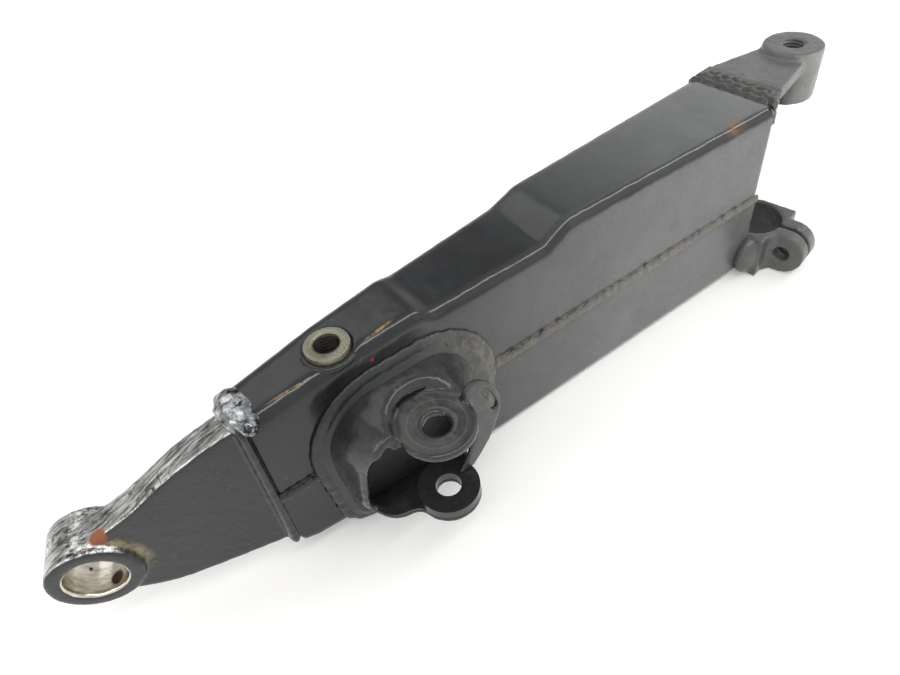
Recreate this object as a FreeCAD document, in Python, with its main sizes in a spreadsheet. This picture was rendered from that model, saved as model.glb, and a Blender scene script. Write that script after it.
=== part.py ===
import FreeCAD, Part
import Sketcher
import math
import os
from FreeCAD import Vector, Rotation, Placement

# Single-sided front swingarm of a small motorcycle, in millimetres.
# The origin is the middle of the pivot eye's bore. X runs along the box, away from the eye,
# Z is up and square to the top insert, and Y points to the back of the arm, away from the bracket.
# The eye's own axis is turned from Y by the splay angle.

doc = FreeCAD.newDocument("swingarm")
sheet = doc.addObject("Spreadsheet::Sheet", "Sizes")

SIZES = [
    # pivot eye forging
    ("splayAngle", 20.0), ("eyeRadius", 17.5), ("eyeBore", 22.0), ("eyeWidth", 22.0),
    ("webFront", 7.5), ("webBack", 6.0), ("webTopRise", 52.0), ("webDrop", 24.0),
    ("eyeChamfer", 0.8), ("greaseHole", 3.0), ("webNeck", 24.0), ("webRun", 48.0), ("webOver", 12.0),
    ("jointGap", 0.0),
    # box: two pressed shells
    ("boxStart", 65.0), ("boxEnd", 346.5), ("boxWall", 2.5),
    ("nearFront", 34.7), ("nearBack", 11.3), ("farFront", 49.3), ("farBack", -1.9),
    ("backBow", 2.5), ("bowPlace", 218.0), ("seamHeight", 9.0),
    ("nearTop", 53.7), ("insertTop", 58.2), ("shoulderTop", 59.8), ("stepTop", 62.4), ("farTop", 60.4),
    ("nearBottom", 22.0), ("quarterBottom", 32.5), ("floorLevel", 40.0),
    ("edgeRadius", 7.0), ("lowEdgeRadius", 6.0), ("endRadius", 2.0), ("noseRadius", 8.0),
    # pressed relief in the top, deeper at the front
    ("reliefStart", 139.0), ("reliefEnd", 214.0), ("reliefRamp", 6.5), ("reliefRun", 5.0),
    ("reliefFront", 54.6), ("reliefBack", 59.0),
    # top threaded insert
    ("insertX", 105.5), ("insertY", -26.0), ("insertDiameter", 17.5), ("insertHole", 8.6),
    ("insertLength", 16.0), ("insertLevel", 59.2), ("insertFit", 0.1),
    # clevis cup on the front face
    ("boltX", 121.2), ("boltY", -66.5), ("boltHole", 10.5), ("flangeTop", 36.2), ("flangeThick", 3.6),
    ("flangeRadius", 15.0), ("cupWall", 3.0), ("cupLeft", 84.0), ("cupRight", 168.0), ("cupRoof", 42.0),
    ("cupDrop", 30.0), ("cupBaseRadius", 28.0), ("cupMidDepth", 52.0),
    ("floorTop", -8.0), ("lugRadius", 12.7), ("lugThick", 4.0),
    # far upper lug
    ("bossX", 406.2), ("bossY", -19.1), ("bossRadius", 15.5), ("bossTop", 62.6), ("bossHeight", 28.0),
    ("bossHole", 10.2), ("plateTop", 59.2), ("plateThick", 8.0), ("lugTaper", 21.0), ("lugFront", 19.5),
    ("lugBack", 21.0), ("lugWeldReach", 17.0),
    # far lower clamp
    ("clampX", 364.1), ("clampY", -41.3), ("clampBore", 30.0), ("clampTop", -15.8), ("clampThick", 24.0),
    ("clampTurn", 10.0), ("clampSide", 17.5), ("clampBack", 30.0), ("earHalf", 9.0), ("earReach", 21.8),
    ("pinchHole", 8.4), ("slotWidth", 2.4),
    # welds
    ("seamHalf", 2.6), ("seamRise", 1.2), ("cupBead", 4.0), ("jointBead", 4.0), ("lugBead", 2.0),
]
for row, (alias, value) in enumerate(SIZES, start=1):
    sheet.set("A%d" % row, alias)
    sheet.set("B%d" % row, "%g" % value)
    sheet.setAlias("B%d" % row, alias)
doc.recompute()
size = {alias: float(sheet.get(alias)) for alias, value in SIZES}


def link(text):
    """Put the sheet's name before each alias in an expression."""
    words = sorted(size, key=len, reverse=True)
    out = ""
    i = 0
    while i < len(text):
        for word in words:
            if text.startswith(word, i):
                out += "Sizes." + word
                i += len(word)
                break
        else:
            out += text[i]
            i += 1
    return out


def bind(thing, path, text):
    thing.setExpression(path, link(text))


def number(text):
    """The value of an expression, worked out in a spare cell of the sheet."""
    sheet.set("D1", "=" + text)
    sheet.recompute()
    return float(sheet.get("D1"))


def newBody(label):
    body = doc.addObject("PartDesign::Body", label)
    body.Label = label
    return body


def newSketch(body, role, name, offset=None):
    sketch = body.newObject("Sketcher::SketchObject", name)
    plane = [f for f in body.Origin.OriginFeatures if f.Role == role][0]
    sketch.AttachmentSupport = [(plane, "")]
    sketch.MapMode = "FlatFace"
    if offset:
        bind(sketch, "AttachmentOffset.Base.z", offset)
    return sketch


def polygon(sketch, corners):
    """A closed outline whose corners are placed by expressions."""
    count = len(corners)
    first = sketch.GeometryCount
    start = [Vector(50 * math.cos(2 * math.pi * i / count), 50 * math.sin(2 * math.pi * i / count), 0)
             for i in range(count)]
    for i in range(count):
        sketch.addGeometry(Part.LineSegment(start[i], start[(i + 1) % count]), False)
    for i in range(count):
        sketch.addConstraint(Sketcher.Constraint("Coincident", first + i, 2, first + (i + 1) % count, 1))
    for i, (across, up) in enumerate(corners):
        for kind, text, value in (("DistanceX", across, start[i].x), ("DistanceY", up, start[i].y)):
            number = sketch.addConstraint(Sketcher.Constraint(kind, -1, 1, first + i, 1, value))
            bind(sketch, "Constraints[%d]" % number, text)


def circle(sketch, across, up, radius):
    first = sketch.GeometryCount
    sketch.addGeometry(Part.Circle(Vector(20, 20, 0), Vector(0, 0, 1), 5), False)
    for kind, text in (("DistanceX", across), ("DistanceY", up)):
        number = sketch.addConstraint(Sketcher.Constraint(kind, -1, 1, first, 3, 20))
        bind(sketch, "Constraints[%d]" % number, text)
    number = sketch.addConstraint(Sketcher.Constraint("Radius", first, 5))
    bind(sketch, "Constraints[%d]" % number, radius)


def pad(body, sketch, length, midplane=False, reverse=False):
    feature = body.newObject("PartDesign::Pad", sketch.Name + "_pad")
    feature.Profile = sketch
    feature.Midplane = midplane
    feature.Reversed = reverse
    bind(feature, "Length", length)
    sketch.Visibility = False
    doc.recompute()
    return feature


def pocket(body, sketch, length, midplane=False, reverse=False):
    feature = body.newObject("PartDesign::Pocket", sketch.Name + "_cut")
    feature.Profile = sketch
    feature.Midplane = midplane
    feature.Reversed = reverse
    before = body.Shape.Volume
    bind(feature, "Length", length)
    doc.recompute()
    if body.Shape.Volume > before - 0.01:
        raise RuntimeError("nothing was cut by " + sketch.Name)
    return feature


def rounded(body, name, radius, pick):
    """A fillet on the edges of the tip that pick accepts."""
    base = body.Tip
    names = ["Edge%d" % (i + 1) for i, edge in enumerate(base.Shape.Edges) if pick(edge)]
    if not names:
        raise RuntimeError("no edge for " + name)
    feature = body.newObject("PartDesign::Fillet", name)
    feature.Base = (base, names)
    bind(feature, "Radius", radius)
    doc.recompute()
    return feature


def middle(edge):
    return edge.valueAt(0.5 * (edge.FirstParameter + edge.LastParameter))


def along(edge, axis):
    """True for a straight edge that runs mostly along one axis."""
    if len(edge.Vertexes) < 2:
        return False
    step = edge.Vertexes[1].Point.sub(edge.Vertexes[0].Point)
    return step.Length > 0.5 and abs(step.dot(axis)) > 0.9 * step.Length


X = Vector(1, 0, 0)
Y = Vector(0, 1, 0)
Z = Vector(0, 0, 1)


# Box shells, lofted from section to section along the arm

def frontAt(station):
    return "-(nearFront + (farFront - nearFront) * (%s - boxStart) / (boxEnd - boxStart))" % station


def backAt(station):
    return "-(nearBack + (farBack - nearBack) * (%s - boxStart) / (boxEnd - boxStart)) + backBow * min(" \
           "(%s - boxStart) / (bowPlace - boxStart); (boxEnd - (%s)) / (boxEnd - bowPlace))" \
           % (station, station, station)


def shellSection(body, name, station, front, back, frontLevel, backLevel, corner, turn):
    """One cross-section of a shell: open side on the seam, two round corners, a top that may lean."""
    sketch = newSketch(body, "YZ_Plane", name, station)
    yf = number(front)
    yb = number(back)
    zf = number(frontLevel)
    zb = number(backLevel)
    seam = number("seamHeight")
    r = number(corner)
    s = turn
    q = math.pi / 2
    sketch.addGeometry(Part.LineSegment(Vector(yf, seam, 0), Vector(yf, zf - s * r, 0)), False)
    if s > 0:
        sketch.addGeometry(Part.ArcOfCircle(Part.Circle(Vector(yf + r, zf - r, 0), Z, r), q, 2 * q), False)
        sketch.addGeometry(Part.LineSegment(Vector(yf + r, zf, 0), Vector(yb - r, zb, 0)), False)
        sketch.addGeometry(Part.ArcOfCircle(Part.Circle(Vector(yb - r, zb - r, 0), Z, r), 0, q), False)
        ends = (2, 1, 2, 1)
    else:
        sketch.addGeometry(Part.ArcOfCircle(Part.Circle(Vector(yf + r, zf + r, 0), Z, r), 2 * q, 3 * q), False)
        sketch.addGeometry(Part.LineSegment(Vector(yf + r, zf, 0), Vector(yb - r, zb, 0)), False)
        sketch.addGeometry(Part.ArcOfCircle(Part.Circle(Vector(yb - r, zb + r, 0), Z, r), 3 * q, 4 * q), False)
        ends = (1, 2, 1, 2)
    sketch.addGeometry(Part.LineSegment(Vector(yb, zb - s * r, 0), Vector(yb, seam, 0)), False)
    sketch.addGeometry(Part.LineSegment(Vector(yb, seam, 0), Vector(yf, seam, 0)), False)
    sketch.addGeometry(Part.Point(Vector(yf, zf, 0)), True)
    sketch.addGeometry(Part.Point(Vector(yb, zb, 0)), True)
    tie = sketch.addConstraint
    tie(Sketcher.Constraint("Tangent", 0, 2, 1, ends[0]))
    tie(Sketcher.Constraint("Tangent", 1, ends[1], 2, 1))
    tie(Sketcher.Constraint("Tangent", 2, 2, 3, ends[2]))
    tie(Sketcher.Constraint("Tangent", 3, ends[3], 4, 1))
    tie(Sketcher.Constraint("Coincident", 4, 2, 5, 1))
    tie(Sketcher.Constraint("Coincident", 5, 2, 0, 1))
    tie(Sketcher.Constraint("Vertical", 0))
    tie(Sketcher.Constraint("Vertical", 4))
    tie(Sketcher.Constraint("Horizontal", 5))
    tie(Sketcher.Constraint("PointOnObject", 6, 1, 2))
    tie(Sketcher.Constraint("PointOnObject", 7, 1, 2))
    sized = (("DistanceX", 0, 1, front, yf), ("DistanceY", 0, 1, "seamHeight", seam),
             ("DistanceX", 4, 2, back, yb), ("DistanceX", 6, 1, front, yf),
             ("DistanceY", 6, 1, frontLevel, zf), ("DistanceX", 7, 1, back, yb),
             ("DistanceY", 7, 1, backLevel, zb))
    for kind, item, end, text, value in sized:
        row = tie(Sketcher.Constraint(kind, -1, 1, item, end, value))
        bind(sketch, "Constraints[%d]" % row, text)
    for item in (1, 3):
        row = tie(Sketcher.Constraint("Radius", item, r))
        bind(sketch, "Constraints[%d]" % row, corner)
    sketch.Visibility = False
    return sketch


def loft(body, kind, name, sketches):
    feature = body.newObject("PartDesign::" + kind, name)
    feature.Profile = sketches[0]
    feature.Sections = sketches[1:]
    feature.Ruled = True
    doc.recompute()
    return feature


def shell(label, stations, turn, corner):
    """stations: place along X, level at the front, level at the back, extra inward place at the ends."""
    body = newBody(label)
    outer = []
    inner = []
    last = len(stations) - 1
    for i, (station, frontLevel, backLevel) in enumerate(stations):
        outer.append(shellSection(body, "%s_out%d" % (label, i), station, frontAt(station), backAt(station),
                                  frontLevel, backLevel, corner, turn))
        inside = station
        if i == 0:
            inside = station + " + boxWall"
        if i == last:
            inside = station + " - boxWall"
        wall = " - boxWall" if turn > 0 else " + boxWall"
        inner.append(shellSection(body, "%s_in%d" % (label, i), inside, frontAt(inside) + " + boxWall",
                                  backAt(inside) + " - boxWall", frontLevel + wall, backLevel + wall,
                                  corner + " - boxWall", turn))
    doc.recompute()
    loft(body, "AdditiveLoft", label + "_form", outer)
    full = body.Shape.Volume
    loft(body, "SubtractiveLoft", label + "_hollow", inner)
    if body.Shape.Volume > full - 1:
        raise RuntimeError("nothing was hollowed in " + label)
    return body


upperStations = [
    ("boxStart", "nearTop", "nearTop"),
    ("insertX", "insertTop", "insertTop"),
    ("reliefStart", "shoulderTop", "shoulderTop"),
    ("reliefStart + reliefRamp", "reliefFront", "reliefBack"),
    ("reliefEnd - reliefRamp - reliefRun", "reliefFront", "reliefBack + 0.4"),
    ("reliefEnd", "stepTop - 0.4", "stepTop - 1.2"),
    ("bowPlace", "stepTop", "stepTop"),
    ("boxEnd", "farTop", "farTop"),
]
lowerStations = [
    ("boxStart", "-nearBottom", "-nearBottom"),
    ("boxStart + noseRadius * 0.3", "-nearBottom - noseRadius * 0.7", "-nearBottom - noseRadius * 0.7"),
    ("boxStart + noseRadius", "-nearBottom - noseRadius", "-nearBottom - noseRadius"),
    ("boxStart + 28", "-quarterBottom", "-quarterBottom"),
    ("boxStart + 105", "-floorLevel", "-floorLevel"),
    ("bowPlace", "-floorLevel", "-floorLevel"),
    ("boxEnd", "-floorLevel", "-floorLevel"),
]
upperShell = shell("upper_shell", upperStations, 1, "edgeRadius")
lowerShell = shell("lower_shell", lowerStations, -1, "lowEdgeRadius")
insertSeat = newSketch(upperShell, "XY_Plane", "insert_seat", "insertLevel + 5")
circle(insertSeat, "insertX", "insertY", "insertDiameter / 2 + insertFit")
pocket(upperShell, insertSeat, "insertLength + 5")


# Pivot eye forging: eye and web in the eye's own frame, turned by the splay angle

def eyeForging():
    body = newBody("eye_forging")
    web = newSketch(body, "XZ_Plane", "web_outline", "-webBack")
    polygon(web, [
        ("-3", "eyeRadius - 0.8"), ("3", "eyeRadius + 0.2"), ("9", "eyeRadius + 1.9"),
        ("webNeck * 0.6", "eyeRadius + 4.2"), ("webNeck", "eyeRadius + 9.2"),
        ("webNeck + 10", "eyeRadius + 15.8"), ("webNeck + webRun * 0.42", "webTopRise * 0.765"),
        ("webNeck + webRun * 0.65", "webTopRise * 0.872"), ("webNeck + webRun * 0.86", "webTopRise * 0.955"),
        ("webNeck + webRun", "webTopRise"), ("webNeck + webRun + webOver", "webTopRise + 3"),
        ("webNeck + webRun + webOver", "3 - webDrop"), ("webNeck + webRun * 0.5", "0.3 - webDrop"),
        ("webNeck + 6", "-webDrop - 0.5"), ("webNeck", "-webDrop - 0.4"), ("webNeck * 0.65", "-webDrop + 1.3"),
        ("webNeck * 0.3", "-eyeRadius - 2.2"), ("-3", "0.8 - eyeRadius")])
    pad(body, web, "webFront + webBack")
    ring = newSketch(body, "XZ_Plane", "eye_outline", "-eyeWidth / 2")
    circle(ring, "0", "0", "eyeRadius")
    pad(body, ring, "eyeWidth")
    bore = newSketch(body, "XZ_Plane", "eye_bore")
    circle(bore, "0", "0", "eyeBore / 2")
    pocket(body, bore, "eyeWidth + 10", midplane=True)
    joint = newSketch(body, "XY_Plane", "joint_plane")
    edge = "(boxStart - jointGap %s * sin(splayAngle)) / cos(splayAngle)"
    polygon(joint, [(edge % "+ 60", "-60"), ("boxStart + 80", "-60"), ("boxStart + 80", "60"),
                    (edge % "- 60", "60")])
    pocket(body, joint, "300", midplane=True)
    body.Placement = Placement(Vector(0, 0, 0), Rotation(Z, -size["splayAngle"]))
    bind(body, "Placement.Rotation.Angle", "-splayAngle")
    return body


eyeBody = eyeForging()


# Threaded insert in the top

def threadedInsert():
    body = newBody("top_threaded_insert")
    face = newSketch(body, "XY_Plane", "insert_outline", "insertLevel")
    circle(face, "insertX", "insertY", "insertDiameter / 2")
    pad(body, face, "insertLength", reverse=True)
    hole = newSketch(body, "XY_Plane", "insert_hole", "insertLevel")
    circle(hole, "insertX", "insertY", "insertHole / 2")
    pocket(body, hole, "insertLength + 1")
    return body


# Far upper lug: a tapering plate that carries an upright threaded boss

def upperLug():
    body = newBody("upper_lug")
    plate = newSketch(body, "XY_Plane", "lug_plate", "plateTop")
    polygon(plate, [
        ("boxEnd", "-farFront + 3"), ("boxEnd + lugTaper", "bossY - lugFront"), ("bossX - 4", "bossY - 12"),
        ("bossX - 4", "bossY + 13.5"), ("boxEnd + lugTaper", "bossY + lugBack"), ("boxEnd", "-farBack + 0.5")])
    pad(body, plate, "plateThick", reverse=True)
    boss = newSketch(body, "XY_Plane", "lug_boss", "bossTop")
    circle(boss, "bossX", "bossY", "bossRadius")
    pad(body, boss, "bossHeight", reverse=True)
    hole = newSketch(body, "XY_Plane", "lug_thread", "bossTop")
    circle(hole, "bossX", "bossY", "bossHole / 2")
    pocket(body, hole, "bossHeight + 1")
    return body


# Far lower clamp: its own frame has X along the pinch bolt, -Y towards the ears

def lowerClamp():
    body = newBody("lower_clamp")
    ear = newSketch(body, "YZ_Plane", "clamp_ear", "-earHalf")
    polygon(ear, [
        ("0", "0"), ("0", "-clampThick"), ("-earReach", "-clampThick"), ("-earReach", "0")])
    pad(body, ear, "2 * earHalf")
    knuckle = newSketch(body, "YZ_Plane", "clamp_knuckle", "-earHalf")
    circle(knuckle, "-earReach", "-clampThick / 2", "clampThick / 2")
    pad(body, knuckle, "2 * earHalf")
    block = newSketch(body, "XY_Plane", "clamp_block")
    polygon(block, [
        ("-clampBack", "3.5 - clampSide"), ("4 - clampSide", "3 - clampSide"), ("-earHalf", "-clampSide"),
        ("clampSide", "-clampSide"), ("clampSide + 0.8", "2"),
        ("clampSide - 4", "clampSide - 2"), ("0", "clampSide + 1.5"), ("-clampBack", "clampSide + 4")])
    pad(body, block, "clampThick", reverse=True)
    bore = newSketch(body, "XY_Plane", "clamp_bore")
    circle(bore, "0", "0", "clampBore / 2")
    pocket(body, bore, "clampThick + 1")
    slot = newSketch(body, "XY_Plane", "clamp_slot")
    polygon(slot, [
        ("-slotWidth / 2", "0"), ("-slotWidth / 2", "-earReach - clampThick"),
        ("slotWidth / 2", "-earReach - clampThick"), ("slotWidth / 2", "0")])
    pocket(body, slot, "clampThick + 1")
    pinch = newSketch(body, "YZ_Plane", "clamp_pinch")
    circle(pinch, "-earReach", "-clampThick / 2", "pinchHole / 2")
    pocket(body, pinch, "100", midplane=True)
    trim = newSketch(body, "XY_Plane", "clamp_trim", "5")
    edge = "(boxEnd - clampX %s * sin(clampTurn)) / cos(clampTurn)"
    polygon(trim, [(edge % "- 60", "-60"), ("-100", "-60"), ("-100", "60"), (edge % "+ 60", "60")])
    pocket(body, trim, "clampThick + 20")
    body.Placement = Placement(Vector(0, 0, 0), Rotation(Z, size["clampTurn"]))
    bind(body, "Placement.Rotation.Angle", "clampTurn")
    bind(body, "Placement.Base.x", "clampX")
    bind(body, "Placement.Base.y", "clampY")
    bind(body, "Placement.Base.z", "clampTop")
    return body


insertBody = threadedInsert()
lugBody = upperLug()
clampBody = lowerClamp()


# Clevis cup on the front face: a drawn sheet, open at the front, with a spot-faced flange above

frontSlope = (size["farFront"] - size["nearFront"]) / (size["boxEnd"] - size["boxStart"])


def frontDepth(x):
    """Y of the box's front face."""
    return -(size["nearFront"] + frontSlope * (x - size["boxStart"]))


def roundedLoop(depth, corners):
    """A closed loop. depth gives Y from X, and each corner is (x, z, radius)."""
    points = [Vector(x, depth(x), z) for x, z, radius in corners]
    count = len(points)
    arcs = []
    for i in range(count):
        here = points[i]
        back = points[i - 1].sub(here).normalize()
        ahead = points[(i + 1) % count].sub(here).normalize()
        half = 0.5 * back.getAngle(ahead)
        radius = corners[i][2]
        cut = radius / math.tan(half)
        inwards = (back + ahead).normalize()
        centre = here + inwards * (radius / math.sin(half))
        arcs.append((here + back * cut, centre - inwards * radius, here + ahead * cut))
    edges = []
    for i in range(count):
        edges.append(Part.Arc(*arcs[i]).toShape())
        edges.append(Part.LineSegment(arcs[i][2], arcs[(i + 1) % count][0]).toShape())
    return Part.Wire(edges)


def prism(points, reach):
    """A flat outline pushed along a vector."""
    return Part.Face(Part.makePolygon(points + points[:1])).extrude(reach)


def smooth(points, reach, straight=0):
    """A closed outline pushed along a vector: one smooth curve, closed by straight lines past its ends."""
    curve = Part.BSplineCurve()
    bend = points[:len(points) - straight] if straight else points + points[:1]
    curve.interpolate(bend)
    edges = [curve.toShape()]
    if straight:
        corners = bend[-1:] + points[len(points) - straight:] + points[:1]
        edges += Part.makePolygon(corners).Edges
    return Part.Face(Part.Wire(edges)).extrude(reach)


def behindFront():
    """Everything behind the box's front face."""
    room = size["boxEnd"]
    outline = [Vector(-room, frontDepth(-room), -room), Vector(2 * room, frontDepth(2 * room), -room),
               Vector(2 * room, room, -room), Vector(-room, room, -room)]
    return prism(outline, 2 * room * Z)


def footLoop(inset, standOff):
    """The cup's outline where it meets the box, drawn in by inset and lifted off the face."""
    left = size["cupLeft"] + inset
    right = size["cupRight"] - inset
    roof = size["cupRoof"] - inset
    drop = inset - size["cupDrop"]
    corner = size["cupBaseRadius"] - inset
    return roundedLoop(lambda x: frontDepth(x) - standOff, [
        (left, roof, corner), (right, roof, corner + 4), (right - 8, drop, corner - 4),
        (left + 8, drop, corner - 16)])


def cupLoops(inset):
    left = size["cupLeft"] + inset
    roof = size["cupRoof"] - inset
    floor = size["floorTop"] - size["cupWall"] + inset
    bolt = size["boltX"]
    base = footLoop(inset, -0.5)
    middle = roundedLoop(lambda x: -size["cupMidDepth"], [
        (left + 8, roof - 1.5, 17 - inset), (bolt + 26 - inset, roof - 1.5, 17 - inset),
        (bolt + 25 - inset, floor - 3, 15 - inset), (left + 6, floor - 3, 12 - inset)])
    lip = roundedLoop(lambda x: size["boltY"] - 8, [
        (bolt - 17 + inset, roof - 4, 9 - inset), (bolt + 17 - inset, roof - 4, 8 - inset),
        (bolt + 15 - inset, floor, 8 - inset), (left + 6, floor, 9 - inset)])
    return [base, middle, lip]


def clevisCup():
    bolt = Vector(size["boltX"], size["boltY"], 0)
    floor = size["floorTop"]
    underside = size["flangeTop"] - size["flangeThick"]
    form = Part.makeLoft(cupLoops(0), True, False)
    form = form.cut(Part.makeLoft(cupLoops(size["cupWall"]), True, False))
    room = size["boxEnd"]
    mouth = [(1.5, underside + 0.6), (5.0, underside - 1.2), (8.4, underside - 7), (11.2, underside - 18),
             (12.8, underside - 30), (14.6, floor), (-room, floor), (-room, underside + 0.6)]
    form = form.cut(smooth([Vector(0, bolt.y + y, z) for y, z in mouth], X * room, 2))
    form = form.cut(Part.makeBox(room, room, room, Vector(0, bolt.y - 8 - room, -room / 2)))
    apron = [(-40, 17), (-29.5, 14.6), (-28.6, 10.5), (-26.2, 7.4), (-22.4, 4.2), (-17.4, 2.4), (-13.2, -0.4),
             (-10.5, -5), (-8, -9), (-8, -room), (-room, -room), (-room, 17)]
    form = form.cut(smooth([Vector(bolt.x + x, bolt.y + y, -room) for x, y in apron], Z * (room + floor), 3))
    form = form.cut(Part.makeBox(room, room, 2 * room, bolt + Vector(8, 3 - room, -room)))
    brow = [(-30, 3), (-21, 4.6), (-15, 3.6), (-11.5, 1), (-9, -4), (-7, -10), (-7, -room), (-30, -room)]
    form = form.cut(smooth([Vector(bolt.x + x, bolt.y + y, 0) for x, y in brow], Z * room, 2))
    flange = Part.makeCylinder(size["flangeRadius"], size["flangeThick"], bolt + Z * underside)
    tongue = Part.makeCylinder(size["lugRadius"] + 0.3, size["cupWall"], bolt + Z * (floor - size["cupWall"]))
    form = form.fuse([flange, tongue])
    form = form.cut(Part.makeCone(size["flangeRadius"] + 0.2, size["flangeRadius"] + 6.2, 7,
                                  bolt + Z * size["flangeTop"]))
    hook = [(2, floor - 2.4), (9, floor + 0.2), (16, floor + 5.5), (24.5, floor + 15), (29.0, floor + 24.5),
            (30.4, 24), (28.2, 33), (23.5, 40), (18, 43.2), (14.6, 42), (13.2, 37), (15.2, 31), (16.2, 22),
            (14.2, 9), (8, -2), (2, floor + 0.4)]
    hook = smooth([Vector(bolt.x + x, bolt.y, z) for x, z in hook[1:]] + [Vector(bolt.x + 2, bolt.y, hook[0][1])],
                  Y * 2.4, 1)
    slot = [(20.8, 37.8), (23.2, 36.5), (26.0, 31), (28.0, 24.5), (27.8, 20), (26.0, 21.5), (25.0, 27), (22.8, 32)]
    slot = smooth([Vector(bolt.x + x, bolt.y - 5, z) for x, z in slot], Y * 20)
    form = form.fuse(hook.cut(slot))
    form = form.cut(Part.makeCylinder(size["lugRadius"], size["lugThick"], bolt + Z * floor))
    form = form.cut(Part.makeCylinder(size["boltHole"] / 2, room, bolt - Z * room / 2))
    return form.cut(behindFront()).removeSplitter()


cup = doc.addObject("Part::Feature", "clevis_cup")
cup.Label = "clevis_cup"
cup.Shape = clevisCup()


# Lug disc on the cup's floor, round the lower bolt hole

def lugDisc():
    body = newBody("lower_lug_disc")
    face = newSketch(body, "XY_Plane", "disc_outline", "floorTop")
    circle(face, "boltX", "boltY", "lugRadius")
    circle(face, "boltX", "boltY", "boltHole / 2")
    pad(body, face, "lugThick")
    return body


discBody = lugDisc()
doc.recompute()


# Weld beads. Each one lies face to face with what it joins.

def octagon(front, back, low, high, corner):
    """Corners of a section through the YZ plane with its four corners cut off."""
    return [("%s + %s" % (front, corner), low), ("%s - %s" % (back, corner), low),
            (back, "%s + %s" % (low, corner)), (back, "%s - %s" % (high, corner)),
            ("%s - %s" % (back, corner), high), ("%s + %s" % (front, corner), high),
            (front, "%s - %s" % (high, corner)), (front, "%s + %s" % (low, corner))]


def weldForm(label, sections):
    """A tapering collar, solid until the piece that it goes round is taken out of it."""
    body = newBody(label + "_form")
    sketches = []
    for i, (place, corners) in enumerate(sections):
        sketch = newSketch(body, "YZ_Plane", "%s_section%d" % (label, i), place)
        polygon(sketch, corners)
        sketches.append(sketch)
    doc.recompute()
    loft(body, "AdditiveLoft", label + "_taper", sketches)
    return body


def takeOut(label, base, tool):
    cut = doc.addObject("Part::Cut", label)
    cut.Base = base
    cut.Tool = tool
    doc.recompute()
    return cut


def seamProfile(body, name, place, across, side):
    """A flat bead: an arc that bulges from a chord lying on the box's face."""
    sketch = newSketch(body, "YZ_Plane", name, place)
    y = number(across)
    z = size["seamHeight"]
    half = size["seamHalf"]
    rise = size["seamRise"]
    radius = (half * half + rise * rise) / (2 * rise)
    middleY = y - side * (radius - rise)
    swing = math.asin(half / radius)
    mid = 0 if side > 0 else math.pi
    sketch.addGeometry(Part.ArcOfCircle(Part.Circle(Vector(middleY, z, 0), Z, radius), mid - swing, mid + swing),
                       False)
    low = sketch.getPoint(0, 1) if side > 0 else sketch.getPoint(0, 2)
    high = sketch.getPoint(0, 2) if side > 0 else sketch.getPoint(0, 1)
    sketch.addGeometry(Part.LineSegment(high, low), False)
    tie = sketch.addConstraint
    tie(Sketcher.Constraint("Coincident", 0, 2 if side > 0 else 1, 1, 1))
    tie(Sketcher.Constraint("Coincident", 0, 1 if side > 0 else 2, 1, 2))
    for kind, end, text, value in (("DistanceX", 1, across, y), ("DistanceX", 2, across, y),
                                   ("DistanceY", 1, "seamHeight + seamHalf", z + half),
                                   ("DistanceY", 2, "seamHeight - seamHalf", z - half)):
        row = tie(Sketcher.Constraint(kind, -1, 1, 1, end, value))
        bind(sketch, "Constraints[%d]" % row, text)
    row = tie(Sketcher.Constraint("Radius", 0, radius))
    bind(sketch, "Constraints[%d]" % row, "(seamHalf ^ 2 + seamRise ^ 2) / (2 * seamRise)")
    return sketch


def seamWeld(label, places, face, side):
    body = newBody(label)
    sketches = [seamProfile(body, "%s_%d" % (label, i), place, face(place), side)
                for i, place in enumerate(places)]
    doc.recompute()
    loft(body, "AdditiveLoft", label + "_bead", sketches)
    return body


webAt = "-(%s) * tan(splayAngle) %s / cos(splayAngle)"
nearForm = weldForm("near_joint_weld", [
    ("boxStart", octagon("-nearFront + 0.4", "-nearBack - 1.5", "-nearBottom + 0.4", "nearTop - 0.4", "3")),
    ("boxStart - jointBead", octagon(webAt % ("boxStart - jointBead", "- webFront") + " - 0.5",
                                     webAt % ("boxStart - jointBead", "+ webBack") + " + 0.5",
                                     "-nearBottom + 1", "webTopRise - 1.5", "1"))])
nearWeld = takeOut("near_joint_weld", nearForm, eyeBody)

lugForm = weldForm("upper_lug_weld", [
    ("boxEnd", octagon("-farFront + 1", "-farBack - 0.3", "plateTop - plateThick - 3", "plateTop + 1", "2")),
    ("boxEnd + lugWeldReach * 0.3", octagon("-farFront + 3", "-farBack - 0.5", "plateTop - plateThick - 1",
                                            "plateTop + lugBead", "2")),
    ("boxEnd + lugWeldReach", octagon("bossY - lugFront - 2", "bossY + lugBack", "plateTop - plateThick - 0.4",
                                      "plateTop + lugBead * 0.3", "0.5"))])
lugWeld = takeOut("upper_lug_weld", lugForm, lugBody)


def cupWeld():
    """A bead round the cup's foot: a full section on the box's face that rounds off onto the cup."""
    reach = size["cupBead"]
    loops = [footLoop(-reach, -0.5), footLoop(-0.75 * reach, 0.6 * reach), footLoop(0.5, 1.1 * reach)]
    bead = Part.makeLoft(loops, True, True)
    bead = bead.cut(Part.makeLoft(cupLoops(0), True, False))
    return bead.cut(behindFront())


cupBeadFeature = doc.addObject("Part::Feature", "cup_weld")
cupBeadFeature.Label = "cup_weld"
cupBeadFeature.Shape = cupWeld()
doc.recompute()

nearSeam = takeOut("front_seam_weld_near",
                   seamWeld("near_seam_form", ["boxStart", "cupLeft + 1"], frontAt, -1), cupBeadFeature)
farSeam = takeOut("front_seam_weld_far",
                  seamWeld("far_seam_form", ["cupRight - 2", "boxEnd"], frontAt, -1), cupBeadFeature)
backSeam = seamWeld("back_seam_weld", ["boxStart", "bowPlace", "boxEnd"], backAt, 1)


# Every piece is checked, then written

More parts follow.
